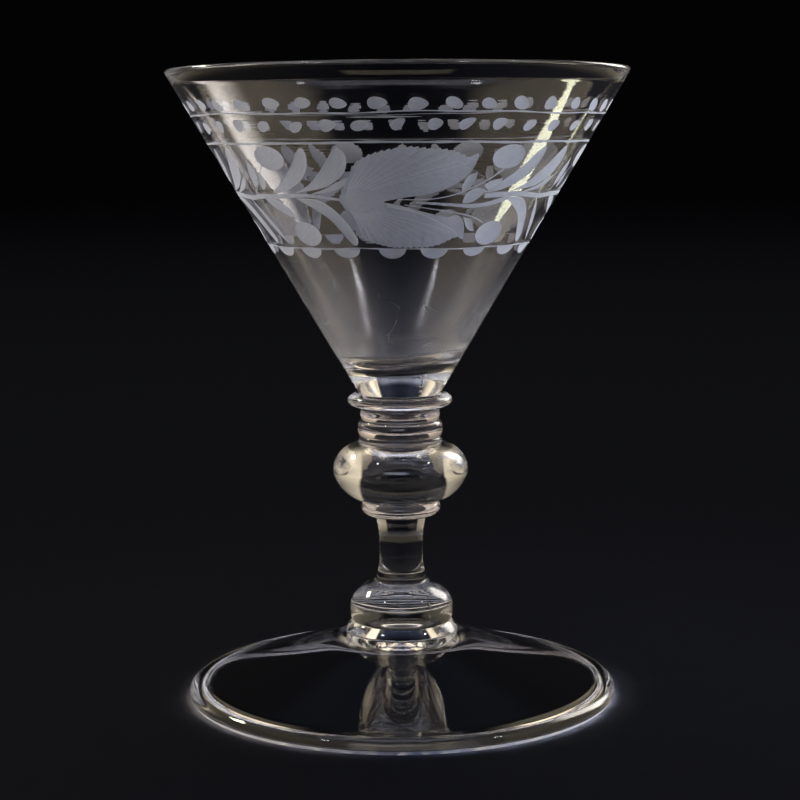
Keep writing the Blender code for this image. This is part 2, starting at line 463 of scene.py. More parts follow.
def quarter(start: Point, end: Point, fullness: float, steps: int, leaves_level: bool) -> list[Point]:
    """Draws a quarter of a rounded flank.

    Args:
        start: Radius and height where it starts.
        end: Radius and height where it ends.
        fullness: 2 for an ellipse, less for a slacker flank.
        steps: How many straight steps stand for the flank.
        leaves_level: Whether the flank leaves the start level and arrives upright.

    Returns:
        The points after the start, with the end as the last.
    """
    points = []
    for step in range(1, steps + 1):
        turn = step / steps * math.pi / 2
        near = 1 - math.cos(turn) ** (2 / fullness)
        far = math.sin(turn) ** (2 / fullness)
        across, along = (far, near) if leaves_level else (near, far)
        points.append((start[0] + (end[0] - start[0]) * across, start[1] + (end[1] - start[1]) * along))
    return points


def cubic(start: Point, pull_start: Point, pull_end: Point, end: Point, steps: int) -> list[Point]:
    """Draws a cubic curve.

    Args:
        start: Where it starts.
        pull_start: The handle of the start.
        pull_end: The handle of the end.
        end: Where it ends.
        steps: How many straight steps stand for the curve.

    Returns:
        The points after the start, with the end as the last.
    """
    points = []
    for step in range(1, steps + 1):
        t = step / steps
        weights = ((1 - t) ** 3, 3 * t * (1 - t) ** 2, 3 * t * t * (1 - t), t**3)
        controls = (start, pull_start, pull_end, end)
        points.append(tuple(sum(w * c[i] for w, c in zip(weights, controls)) for i in range(2)))
    return points


def straight(start: Point, end: Point, steps: int) -> list[Point]:
    """Divides a straight run into equal steps.

    Args:
        start: Where it starts.
        end: Where it ends.
        steps: How many steps it takes.

    Returns:
        The points after the start, with the end as the last.
    """
    return [
        (start[0] + (end[0] - start[0]) * i / steps, start[1] + (end[1] - start[1]) * i / steps)
        for i in range(1, steps + 1)
    ]


@dataclass(frozen=True)
class NodeShape:
    """What a CAD node measures: its ends, its joint faces and its widest circle, in metres."""

    low: float
    high: float
    foot_radius: float
    head_radius: float
    widest_radius: float
    widest_height: float

    @classmethod
    @cache
    def of(cls, node: str) -> "NodeShape":
        """Measures a CAD node of the frame.

        Args:
            node: The node's name.

        Returns:
            Its measures.
        """
        lowest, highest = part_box(node)
        rows = [(math.hypot(v.co.x, v.co.y), v.co.z) for v in frame["nodes"][node].data.vertices]
        flat = 0.01 * MM
        widest_radius, widest_height = max(rows)
        return cls(
            low=lowest.z,
            high=highest.z,
            foot_radius=max(r for r, z in rows if z < lowest.z + flat),
            head_radius=max(r for r, z in rows if z > highest.z - flat),
            widest_radius=widest_radius,
            widest_height=widest_height,
        )


STACK = (
    "foot", "foot_collar", "basal_knop", "stem", "lower_merese", "ball_knop",
    "lower_ring", "middle_ring", "upper_ring", "upper_merese", "bowl",
)


def fused_top(node: str) -> float:
    """Gives the height where a piece meets the one above it, with the joint's gap closed by melting."""
    return NodeShape.of(STACK[STACK.index(node) + 1]).low


def turn_outline(name: str, outline: Sequence[Point], steps: int) -> Object:
    """Turns an outline about the glass's axis into a closed mesh.

    Args:
        name: The piece's name.
        outline: Radius and height of each corner, from axis to axis.
        steps: How many steps make the full turn.

    Returns:
        The turned piece, in object mode.
    """
    bpy.ops.object.select_all(action="DESELECT")
    bpy.ops.mesh.primitive_circle_add(vertices=3, radius=MM)
    piece = bpy.context.active_object
    piece.name = piece.data.name = name
    bpy.ops.object.mode_set(mode="EDIT")
    bpy.ops.mesh.select_all(action="SELECT")
    bpy.ops.mesh.merge(type="CENTER")
    bpy.ops.transform.translate(value=(outline[0][0], 0.0, outline[0][1]))
    for here, there in zip(outline, outline[1:]):
        move = (there[0] - here[0], 0.0, there[1] - here[1])
        bpy.ops.mesh.extrude_region_move(TRANSFORM_OT_translate={"value": move})
    bpy.ops.mesh.select_all(action="SELECT")
    bpy.ops.mesh.spin(steps=steps, angle=FULL_TURN, center=(0, 0, 0), axis=(0, 0, 1))
    bpy.ops.mesh.select_all(action="SELECT")
    bpy.ops.mesh.remove_doubles(threshold=WELD)
    bpy.ops.mesh.normals_make_consistent(inside=False)
    bpy.ops.object.mode_set(mode="OBJECT")
    bpy.ops.object.shade_smooth_by_angle(angle=SMOOTH_ANGLE)
    return piece


@dataclass
class GlassPiece:
    """A turned piece of the glass that stands for one CAD node.

    Seeds are given by their place and radius, in millimetres.
    """

    node: str
    slot: Slot
    turn_steps: int = 160
    flank_steps: int = 22
    seeds: tuple[tuple[float, float, float, float], ...] = ()

    def outline(self) -> list[Point]:
        """Gives the radius and height of the outline's corners, from the axis round to the axis again."""
        raise NotImplementedError

    def joint_heights(self) -> list[float]:
        """Gives the heights of the joint faces."""
        return [NodeShape.of(self.node).low, fused_top(self.node)]

    def build(self, skins: Sequence[Material]) -> Object:
        """Builds the piece, dresses it and ties it to the frame.

        Args:
            skins: The materials in the order of Skin.

        Returns:
            The finished piece.
        """
        piece = turn_outline(self.node + "_glass", self.outline(), self.turn_steps)
        self.dress(piece, skins)
        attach(piece, "root")
        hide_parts(self.node)
        return piece

    def dress(self, piece: Object, skins: Sequence[Material]) -> None:
        """Gives the piece its materials, with the joint faces melted away.

        Args:
            piece: The piece.
            skins: The materials in the order of Skin.
        """
        for skin in skins:
            piece.data.materials.append(skin)
        joints = self.joint_heights()
        for face in piece.data.polygons:
            heights = [piece.data.vertices[i].co.z for i in face.vertices]
            at_joint = any(max(abs(h - j) for h in heights) < SAME_HEIGHT for j in joints)
            face.material_index = Skin.FUSED if at_joint else Skin.CLEAR
        mesh = bmesh.new()
        mesh.from_mesh(piece.data)
        self.shape_by_hand(mesh)
        for x, y, z, radius in self.seeds:
            drawn = Matrix.Diagonal((1.0, 1.0, SEED_STRETCH, 1.0))
            place = Matrix.Translation(Vector((x, y, z)) * MM) @ drawn
            bead = bmesh.ops.create_icosphere(mesh, subdivisions=2, radius=radius * MM, matrix=place)
            for face in {face for vert in bead["verts"] for face in vert.link_faces}:
                face.material_index = Skin.SEED
                face.smooth = True
        mesh.to_mesh(piece.data)
        mesh.free()

    def shape_by_hand(self, mesh: BMesh) -> None:
        """Leaves the piece as it was turned."""


@dataclass
class RoundedRing(GlassPiece):
    """A merese, ring or knop: a rounded bulge between two joint faces."""

    upper_fullness: float = ELLIPSE
    lower_fullness: float = ELLIPSE

    def outline(self) -> list[Point]:
        """Gives the outline of the bulge.

        Returns:
            Radius and height of each corner.
        """
        shape = NodeShape.of(self.node)
        top = fused_top(self.node)
        head = (shape.head_radius, top)
        widest = (shape.widest_radius, shape.widest_height)
        base = (shape.foot_radius, shape.low)
        upper = quarter(head, widest, self.upper_fullness, self.flank_steps, True)
        lower = quarter(widest, base, self.lower_fullness, self.flank_steps, False)
        return [(0.0, top), head, *upper, *lower, (0.0, shape.low)]


@dataclass
class BasalKnop(GlassPiece):
    """The knop at the stem's base, with a hollow flare from the stem into a round shoulder."""

    shoulder_radius: float = 7.6 * MM
    shoulder_drop: float = 1.5 * MM

    def outline(self) -> list[Point]:
        """Gives the outline, from the stem's foot over the shoulder to the widest circle and in again.

        Returns:
            Radius and height of each corner.
        """
        shape = NodeShape.of(self.node)
        top = fused_top(self.node)
        head = (shape.head_radius, top)
        shoulder = (self.shoulder_radius, top - self.shoulder_drop)
        widest = (shape.widest_radius, shape.widest_height)
        step_out = (shoulder[0] - head[0]) / 2
        step_down = self.shoulder_drop / 2
        stem_handle = (head[0], top - step_down)
        hollow_handle = (shoulder[0] - step_out, shoulder[1] + step_down)
        flare = cubic(head, stem_handle, hollow_handle, shoulder, self.flank_steps // 2)
        round_handle = (shoulder[0] + step_out, shoulder[1] - step_down)
        side_handle = (widest[0], (widest[1] + shoulder[1]) / 2)
        upper = cubic(shoulder, round_handle, side_handle, widest, self.flank_steps)
        lower = quarter(widest, (shape.foot_radius, shape.low), ELLIPSE, self.flank_steps, False)
        return [(0.0, top), head, *flare, *upper, *lower, (0.0, shape.low)]


@dataclass
class Stem(GlassPiece):
    """The short stem, drawn in to a waist."""

    waist_radius: float = 4.55 * MM
    waist_height: float = 6.4 * MM

    def outline(self) -> list[Point]:
        """Gives the outline, from the flared head through the waist to the flared foot.

        Returns:
            Radius and height of each corner.
        """
        shape = NodeShape.of(self.node)
        top = fused_top(self.node)
        waist = (self.waist_radius, shape.low + self.waist_height)
        upper_handle = (waist[0], (top + waist[1]) / 2)
        lower_handle = (waist[0], (shape.low + waist[1]) / 2)
        head = (shape.head_radius, top)
        upper = cubic(head, upper_handle, upper_handle, waist, self.flank_steps)
        lower = cubic(waist, lower_handle, lower_handle, (shape.foot_radius, shape.low), self.flank_steps)
        return [(0.0, top), head, *upper, *lower, (0.0, shape.low)]


@dataclass
class FoldedFoot(GlassPiece):
    """The conical foot, whose rim is folded under into a rounded welt."""

    turn_steps: int = 240
    sheet: float = 1.7 * MM
    hollow_round: float = 6.0 * MM
    fold_width: float = 3.4 * MM
    fold_height: float = 3.4 * MM
    fold_lip: float = 1.2 * MM
    rest_width: float = 1.4 * MM
    worn_height: float = 0.9 * MM
    edge_slack: float = 0.05 * MM

    def joint_heights(self) -> list[float]:
        """Gives the height of the joint under the collar."""
        return [fused_top(self.node)]

    def outline(self) -> list[Point]:
        """Gives the outline, from the collar down the cone, round the fold and up into the hollow.

        Returns:
            Radius and height of each corner.
        """
        shape = NodeShape.of(self.node)
        top = fused_top(self.node)
        inner = shape.widest_radius - self.fold_width
        head = (shape.head_radius, top)
        cone_end = (inner, self.fold_height)
        widest = (shape.widest_radius, shape.widest_height)
        rest_outer = (shape.foot_radius, 0.0)
        rest_inner = (shape.foot_radius - self.rest_width, 0.0)
        hollow_edge = (inner, self.fold_height - self.sheet)
        corner = (shape.head_radius, shape.high - self.sheet)
        rise = (corner[1] - hollow_edge[1]) / (hollow_edge[0] - corner[0])
        round_start = (corner[0] + self.hollow_round, corner[1] - rise * self.hollow_round)
        cone = straight(head, cone_end, self.flank_steps)
        over = quarter(cone_end, widest, ELLIPSE, self.flank_steps, True)
        under = quarter(widest, rest_outer, ELLIPSE, self.flank_steps, False)
        lip = quarter(rest_inner, (inner, self.fold_lip), ELLIPSE, self.flank_steps // 2, True)
        hollow = straight(hollow_edge, round_start, self.flank_steps)
        crown = cubic(round_start, corner, corner, (0.0, corner[1]), self.flank_steps)
        return [(0.0, top), head, *cone, *over, *under, rest_inner, *lip, hollow_edge, *hollow, *crown]

    def shape_by_hand(self, mesh: BMesh) -> None:
        """Marks the outer underside of the fold, which the table has worn.

        Args:
            mesh: The turned foot.
        """
        rest_outer = NodeShape.of(self.node).foot_radius - self.edge_slack
        for face in mesh.faces:
            if all(v.co.z < self.worn_height and math.hypot(v.co.x, v.co.y) > rest_outer for v in face.verts):
                face.material_index = Skin.GROUND


def through(points: Sequence[Point], spacing: float) -> list[Point]:
    """Draws a smooth open curve through points.

    Args:
        points: The points, at least two.
        spacing: About how far apart the curve's own points lie.

    Returns:
        The curve's points, with both ends.
    """
    ends = [points[0], *points, points[-1]]
    curve = [points[0]]
    for a, b, c, d in zip(ends, ends[1:], ends[2:], ends[3:]):
        steps = max(1, round(math.dist(b, c) / spacing))
        for step in range(1, steps + 1):
            t = step / steps
            weights = (
                -t / 2 + t * t - t**3 / 2,
                1 - 2.5 * t * t + 1.5 * t**3,
                t / 2 + 2 * t * t - 1.5 * t**3,
                -t * t / 2 + t**3 / 2,
            )
            curve.append(tuple(sum(w * p[i] for w, p in zip(weights, (a, b, c, d))) for i in range(2)))
    return curve


def side_of(curve: Sequence[Point], index: int) -> Point:
    """Gives the unit vector to the left of a curve at one of its points.

    Args:
        curve: The curve's points.
        index: The point's place among them.

    Returns:
        The vector.
    """
    before, after = curve[max(index - 1, 0)], curve[min(index + 1, len(curve) - 1)]
    run = (after[0] - before[0], after[1] - before[1])
    length = math.hypot(*run) or 1.0
    return (-run[1] / length, run[0] / length)


# Where the veins of the broad leaf end, in degrees from its spray's middle and millimetres of height.
LOWER_VEINS = (
    (-14.5, 97.2), (-11.5, 96.7), (-8.0, 96.1), (-4.5, 95.6), (-1.0, 95.4), (3.0, 95.4),
    (7.0, 95.5), (11.0, 95.7), (15.0, 96.1), (19.0, 96.8), (23.0, 97.6),
)
UPPER_VEINS = (
    (-14.5, 109.6), (-11.5, 111.8), (-7.5, 112.9), (-3.0, 113.6), (2.0, 114.0),
    (7.0, 114.0), (12.0, 113.6), (16.5, 113.0), (20.5, 112.0), (23.4, 111.4),
)
# Blades and small leaves: the edge from the tail to the tip, and the points between on the way back.
BLADES = (
    (
        [(-47.0, 105.6), (-43.0, 107.0), (-38.5, 108.8), (-34.6, 110.6), (-31.8, 112.7), (-29.2, 114.2)],
        [(-27.9, 114.2), (-27.5, 112.6), (-28.9, 110.3), (-31.6, 108.5), (-35.5, 107.1), (-41.0, 106.0)],
    ),
    (
        [(-36.0, 105.8), (-30.5, 107.1), (-25.8, 109.2), (-22.0, 111.5), (-19.3, 113.5), (-17.5, 114.4)],
        [(-15.6, 113.4), (-15.3, 111.4), (-17.0, 109.4), (-20.8, 107.8), (-26.0, 106.6)],
    ),
    (
        [(-30.0, 105.6), (-25.0, 106.4), (-20.0, 107.7), (-14.6, 109.1)],
        [(-16.6, 107.6), (-20.5, 106.4), (-25.0, 105.8)],
    ),
    (
        [(-37.0, 104.7), (-30.0, 104.6), (-26.0, 103.8), (-22.0, 101.9), (-18.6, 99.4), (-16.2, 97.0)],
        [(-16.6, 95.8), (-18.4, 95.7), (-20.4, 96.8), (-22.8, 98.6), (-25.6, 100.6), (-30.0, 102.4)],
    ),
)
SMALL_LEAVES = (
    ([(21.4, 105.6), (20.9, 107.0), (22.2, 108.8), (24.9, 109.5)], [(25.0, 108.0), (23.6, 106.5)]),
    ([(28.8, 107.1), (31.0, 107.9), (35.3, 108.3)], [(34.2, 106.9), (32.0, 106.1), (30.0, 106.3)]),
    ([(22.2, 103.6), (22.9, 105.4), (25.8, 106.5), (30.0, 106.2)], [(28.2, 104.7), (25.2, 103.7)]),
    ([(24.0, 100.9), (27.6, 100.4), (30.4, 98.1)], [(27.6, 98.4), (25.6, 99.4)]),
    ([(-55.6, 106.6), (-55.2, 109.4), (-52.6, 112.2)], [(-51.0, 110.0), (-52.4, 107.8)]),
    ([(-51.6, 106.2), (-51.0, 108.3), (-49.0, 109.7)], [(-48.0, 108.2), (-49.3, 106.8)]),
    ([(-53.0, 104.5), (-47.0, 104.4), (-42.0, 102.8), (-40.0, 100.9)], [(-44.5, 101.4), (-49.5, 102.9)]),
    ([(-64.0, 104.8), (-59.0, 102.0), (-54.6, 98.6), (-52.4, 95.8)], [(-55.6, 97.2), (-60.0, 100.6)]),
)
# Berries: middle in degrees and height, half the width in degrees and half the height.
BERRIES = ((-41.5, 112.4, 5.8, 2.3), (-38.2, 97.7, 6.4, 2.35))
THIN = {"depth": 0.10, "reach": 0.15}
WIDE = {"depth": 0.16, "reach": 0.4}
# Stalks that tie leaves, berries and groups together: course, widths at both ends and kind of cut.
STALKS = (
    ([(0, 104.5), (10, 104.5), (18, 105.2), (25, 106.7), (30, 108.3), (34, 110.0)], (0.16, 0.30), THIN),
    ([(2, 103.5), (12, 102.6), (20, 101.9), (28, 100.9), (33, 99.8)], (0.16, 0.28), THIN),
    ([(6, 103.9), (16, 103.5), (26, 103.1), (34, 103.6), (41, 104.8)], (0.30, 1.05), WIDE),
    ([(-46, 105.0), (-38, 105.2), (-30, 105.2), (-19, 104.4)], (0.95, 0.40), WIDE),
    ([(30, 105), (38, 105.2), (46, 105.2), (58, 104.7), (66, 105), (74.5, 105)], (0.95, 0.90), WIDE),
    ([(-57, 105.6), (-51, 108.2), (-46, 111.0)], (0.28, 0.18), THIN),
    ([(-52, 104.4), (-45, 102.0), (-41, 99.4)], (0.28, 0.18), THIN),
)


@dataclass(frozen=True)
class Cut:
    """One cut of the wheel: its outline on the unrolled wall, and how deep and which way it is ground."""

    outline: tuple[Point, ...]
    skin: Skin = Skin.GROUND
    depth: float = 0.14
    reach: float = 0.5
    lay: float = 0.0


@dataclass(frozen=True)
class Frieze:
    """The engraved band: leaf sprays between two lines, small hollows above and scallops below.

    Outlines are in degrees round the bowl from the middle of a spray, and in millimetres of height.
    """

    # Millimetres of the unrolled wall for one degree, at a middle radius of 38 mm.
    degree: float = 38.0 * math.pi / 180
    spacing: float = 0.42
    spray_turns: tuple[float, ...] = (-120.0, 0.0, 120.0)
    group_shift: float = 76.0
    small_count: int = 38
    scallop_count: int = 20
    scallop_height: float = 94.85
    scallop_shift: float = 6.0
    scallop_steps: int = 20
    oval_steps: int = 26
    berry_steps: int = 44
    band_turn: int = 200
    vein_share: Point = (0.22, 0.94)
    vein_bow: Point = (0.4, 0.15)
    seed: int = 7

    def cuts(self) -> list[Cut]:
        """Gives every cut of the band, on the unrolled wall in millimetres.

        Returns:
            The cuts.
        """
        made = [*self.lines(), *self.small_hollows(), *self.scallops()]
        for centre in self.spray_turns:
            made += [self.ribbon(self.unroll(run, centre), *ends, **cut) for run, ends, cut in STALKS]
            made += self.leaf(centre)
            made += [cut for rise, fall in SMALL_LEAVES for cut in self.blade(rise, fall, centre, edge=0.10)]
            for group in (centre, centre + self.group_shift):
                made += [cut for rise, fall in BLADES for cut in self.blade(rise, fall, group, edge=0.13)]
                made += [self.berry(group, *berry) for berry in BERRIES]
        return made

    def unroll(self, points: Sequence[Point], centre: float) -> list[Point]:
        """Places points of a spray on the unrolled wall."""
        return [((centre + a) * self.degree, z) for a, z in points]

    def band(self, height: float, width: float, ripple: float, phase: float) -> Cut:
        """Cuts a line right round the bowl.

        Args:
            height: Its height.
            width: Its mean width.
            ripple: How far it wanders up and down.
            phase: Where its ripples start, in radians.

        Returns:
            The cut.
        """
        lower, upper = [], []
        for turn in range(-self.band_turn, self.band_turn + 1):
            angle = math.radians(turn)
            wander = math.sin(5 * angle + phase) + 0.6 * math.sin(13 * angle + 2 * phase)
            middle = height + ripple * wander / 2
            half = width / 2 * (1 + 0.35 * math.sin(29 * angle + phase) * math.sin(7 * angle))
            lower.append((turn * self.degree, middle - half))
            upper.append((turn * self.degree, middle + half))
        return Cut(tuple(lower + upper[::-1]), depth=0.10, reach=0.15)

    def lines(self) -> list[Cut]:
        """Cuts the three lines round the bowl."""
        return [
            self.band(height=120.7, width=0.26, ripple=0.30, phase=0.4),
            self.band(height=115.2, width=0.40, ripple=0.16, phase=1.7),
            self.band(height=94.9, width=0.24, ripple=0.20, phase=2.6),
        ]

    def small_hollows(self) -> list[Cut]:
        """Cuts the two rows of small oval hollows above and below the top line.

        Returns:
            The cuts.
        """
        chance = random.Random(self.seed)
        made = []
        for row_height, shift, half_width, half_height, tilt in (
            (122.3, 0.0, 2.45, 1.10, -12.0),
            (118.4, 4.9, 2.35, 1.02, 24.0),
        ):
            for index in range(self.small_count):
                turn = -180 + shift + (index + 0.5) * 360 / self.small_count + chance.uniform(-0.9, 0.9)
                height = row_height + chance.uniform(-0.25, 0.25)
                lean = math.radians(tilt + chance.uniform(-16, 16))
                wide = half_width * self.degree * chance.uniform(0.86, 1.08)
                tall = half_height * chance.uniform(0.86, 1.1)
                taper = chance.uniform(0.1, 0.4)
                outline = []
                for step in range(self.oval_steps):
                    angle = step / self.oval_steps * FULL_TURN
                    across = wide * math.cos(angle)
                    up = tall * math.sin(angle) * (1 - taper * math.cos(angle))
                    outline.append(
                        (
                            turn * self.degree + across * math.cos(lean) - up * math.sin(lean),
                            height + across * math.sin(lean) + up * math.cos(lean),
                        )
                    )
                made.append(Cut(tuple(outline), depth=0.20, reach=0.7, lay=lean))
        return made

    def scallops(self) -> list[Cut]:
        """Cuts the half-round scallops that hang from the bottom line.

        Returns:
            The cuts.
        """
        chance = random.Random(self.seed + 1)
        made = []
        for index in range(self.scallop_count):
            start = -180 + (index + 0.5) * 360 / self.scallop_count
            turn = start + self.scallop_shift + chance.uniform(-1.2, 1.2)
            half = 5.9 * chance.uniform(0.9, 1.06)
            drop = chance.uniform(1.65, 1.95)
            middle, side = turn * self.degree, half * self.degree
            outline = [(middle + side, self.scallop_height), (middle - side, self.scallop_height)]
            for step in range(1, self.scallop_steps):
                angle = math.pi + step / self.scallop_steps * math.pi
                across = (turn + half * math.cos(angle)) * self.degree
                outline.append((across, self.scallop_height + drop * math.sin(angle)))
            made.append(Cut(tuple(outline), depth=0.18, reach=0.7))
        return made

    def toothed(self, points: Sequence[Point], tooth: float, depth: float) -> list[Point]:
        """Cuts saw teeth into a leaf's edge, raised to the left of its run.

        Args:
            points: The edge's points on the unrolled wall.
            tooth: The teeth's length along the edge.
            depth: How far a tooth stands out.

        Returns:
            The toothed edge.
        """
        curve = through(points, tooth / 6)
        edge = [curve[0]]
        run = 0.0
        for index in range(1, len(curve) - 1):
            run += math.dist(curve[index - 1], curve[index])
            rise = (run / tooth) % 1.0
            side = side_of(curve, index)
            out = depth * (rise - 0.35)
            edge.append((curve[index][0] + side[0] * out, curve[index][1] + side[1] * out))
        return [*edge, curve[-1]]

    def ribbon(self, points: Sequence[Point], start: float, end: float, **cut: object) -> Cut:
        """Cuts a stroke along a curve.

        Args:
            points: The curve's points on the unrolled wall.
            start: The stroke's width where it starts.
            end: Its width where it ends.
            cut: Further fields of the cut.

        Returns:
            The cut.
        """
        curve = through(points, 2 * self.spacing)
        left, right = [], []
        for index, point in enumerate(curve):
            side = side_of(curve, index)
            half = (start + (end - start) * index / (len(curve) - 1)) / 2
            left.append((point[0] + side[0] * half, point[1] + side[1] * half))
            right.append((point[0] - side[0] * half, point[1] - side[1] * half))
        lay = math.atan2(points[-1][1] - points[0][1], points[-1][0] - points[0][0])
        return Cut(tuple(right + left[::-1]), lay=lay, **cut)

    def leaf(self, centre: float) -> list[Cut]:
        """Cuts the broad two-lobed leaf with its veins.

        Args:
            centre: The spray's middle in degrees.

        Returns:
            The leaf's cuts.
        """
        top_edge = [
            (-20.3, 104.3), (-18.2, 106.6), (-15.6, 109.0), (-12.8, 111.3), (-8.4, 112.8), (-3.0, 113.8),
            (3.5, 114.3), (9.0, 114.0), (14.5, 113.7), (18.5, 112.9), (21.0, 112.3),
        ]
        tip_edge = [
            (21.0, 112.3), (23.7, 113.0), (23.7, 111.3), (22.3, 109.4), (19.8, 107.9),
            (16.0, 106.6), (12.0, 105.8), (7.0, 105.2), (1.0, 104.8), (-5.0, 104.1),
        ]
        slit_edge = [
            (-5.0, 104.0), (1.0, 103.3), (6.0, 102.5), (11.0, 101.8), (15.0, 101.3), (18.0, 101.0),
            (20.5, 101.4), (22.5, 101.1), (24.3, 100.2), (25.6, 98.6), (26.5, 96.5),
        ]
        low_edge = [
            (26.5, 96.5), (23.8, 97.1), (21.6, 96.9), (19.0, 96.3), (16.2, 95.7), (11.0, 95.25),
            (3.0, 95.2), (-4.0, 95.4), (-9.5, 96.2), (-14.0, 97.0), (-16.6, 97.7),
        ]
        stalk_edge = [(-16.6, 97.7), (-16.4, 99.2), (-17.6, 101.0), (-18.8, 102.6), (-20.3, 104.3)]
        outline = [
            *self.toothed(self.unroll(top_edge, centre), tooth=1.35, depth=0.38)[:-1],
            *through(self.unroll(tip_edge, centre), self.spacing)[:-1],
            *through(self.unroll(slit_edge, centre), self.spacing)[:-1],
            *self.toothed(self.unroll(low_edge, centre), tooth=1.5, depth=0.30)[:-1],
            *through(self.unroll(stalk_edge, centre), self.spacing)[:-1],
        ]
        made = [Cut(tuple(outline[::-1]), depth=0.16, reach=0.6, lay=math.radians(-22))]
        vein = {"skin": Skin.VEIN, "depth": 0.24, "reach": 0.2}
        midrib = [(-4.0, 103.1), (6.0, 101.9), (14.0, 100.2), (23.0, 97.8)]
        made.append(self.ribbon(self.unroll(midrib, centre), start=0.22, end=0.12, **vein))
        for root, heads in (((-18.0, 103.4), LOWER_VEINS), ((-18.0, 104.6), UPPER_VEINS)):
            for head in heads:
                start, end = (
                    (root[0] + (head[0] - root[0]) * share, root[1] + (head[1] - root[1]) * share)
                    for share in self.vein_share
                )
                bow_out, bow_up = self.vein_bow
                middle = ((start[0] + end[0]) / 2 + bow_out, (start[1] + end[1]) / 2 + bow_up)
                run = self.unroll([start, middle, end], centre)
                made.append(self.ribbon(run, start=0.10, end=0.06, **vein))
        return made

    def blade(self, rise: Sequence[Point], fall: Sequence[Point], centre: float, edge: float) -> list[Cut]:
        """Cuts one leaf blade, with a fine bright cut along its rising edge.

        Args:
            rise: The edge from the blade's tail to its tip.
            fall: The edge from its tip back to its tail, without those two.
            centre: The middle of its group in degrees.
            edge: The width of the bright cut.

        Returns:
            The cuts.
        """
        there = through(self.unroll(rise, centre), self.spacing)
        back = through(self.unroll([rise[-1], *fall, rise[0]], centre), self.spacing)
        lay = math.atan2(there[-1][1] - there[0][1], there[-1][0] - there[0][0])
        outline = (there[:-1] + back[:-1])[::-1]
        inside = []
        for index, point in enumerate(there[1:-1], 1):
            side = side_of(there, index)
            inside.append((point[0] - side[0] * edge, point[1] - side[1] * edge))
        few = inside[:: max(1, len(inside) // 6)]
        bright = self.ribbon(few, edge, edge / 2, skin=Skin.VEIN, depth=0.22, reach=0.2)
        return [Cut(tuple(outline), depth=0.18, reach=0.55, lay=lay), bright]

    def berry(self, centre: float, turn: float, height: float, half_width: float, half_height: float) -> Cut:
        """Cuts one round berry, ground as a shallow hollow.

        Args:
            centre: The middle of its group in degrees.
            turn: Its own middle in degrees from there.
            height: The height of its middle.
            half_width: Half its width, in degrees.
            half_height: Half its height.

        Returns:
            The cut.
        """
        ring = []
        for step in range(self.berry_steps):
            angle = step / self.berry_steps * FULL_TURN
            ring.append((turn + half_width * math.cos(angle), height + half_height * math.sin(angle)))
        return Cut(tuple(self.unroll(ring, centre)), depth=0.42, reach=1.3, lay=0.5)


